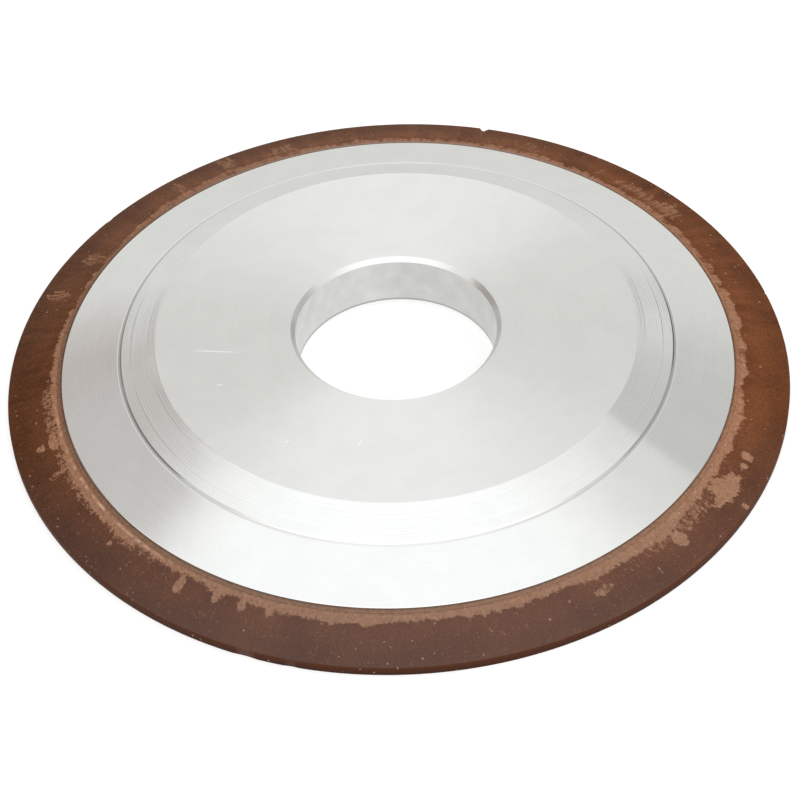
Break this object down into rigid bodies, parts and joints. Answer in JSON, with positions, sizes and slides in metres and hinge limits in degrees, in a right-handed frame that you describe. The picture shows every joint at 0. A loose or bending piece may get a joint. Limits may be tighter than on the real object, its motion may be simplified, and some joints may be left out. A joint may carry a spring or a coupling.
{
  "type": "diamond grinding wheel",
  "caption": "Resin-bond diamond grinding wheel with a flat back, a raised turned hub with two bevels, a central bore and a thin tapered abrasive rim.",
  "frame": {"origin": "centre of the flat back face, on the wheel's axis", "axes": "+Z along the spindle axis, from the flat back face towards the raised hub face; the wheel is round about it"},
  "size_m": [0.125, 0.125, 0.01],
  "materials": {
    "turned_aluminium": "lathe-turned aluminium with fine concentric feed marks and sharp edges",
    "bond_resin": "smooth skimmed reddish-brown phenolic resin with no diamond in it",
    "diamond_resin": "as-pressed dark brown phenolic skin over fine diamond grit, with ragged tan patches where the skin was skimmed off"
  },
  "bodies": {
    "root": {"core": "turned_aluminium", "bond_layer": "bond_resin", "abrasive_rim": "diamond_resin"}
  },
  "joints": []
}
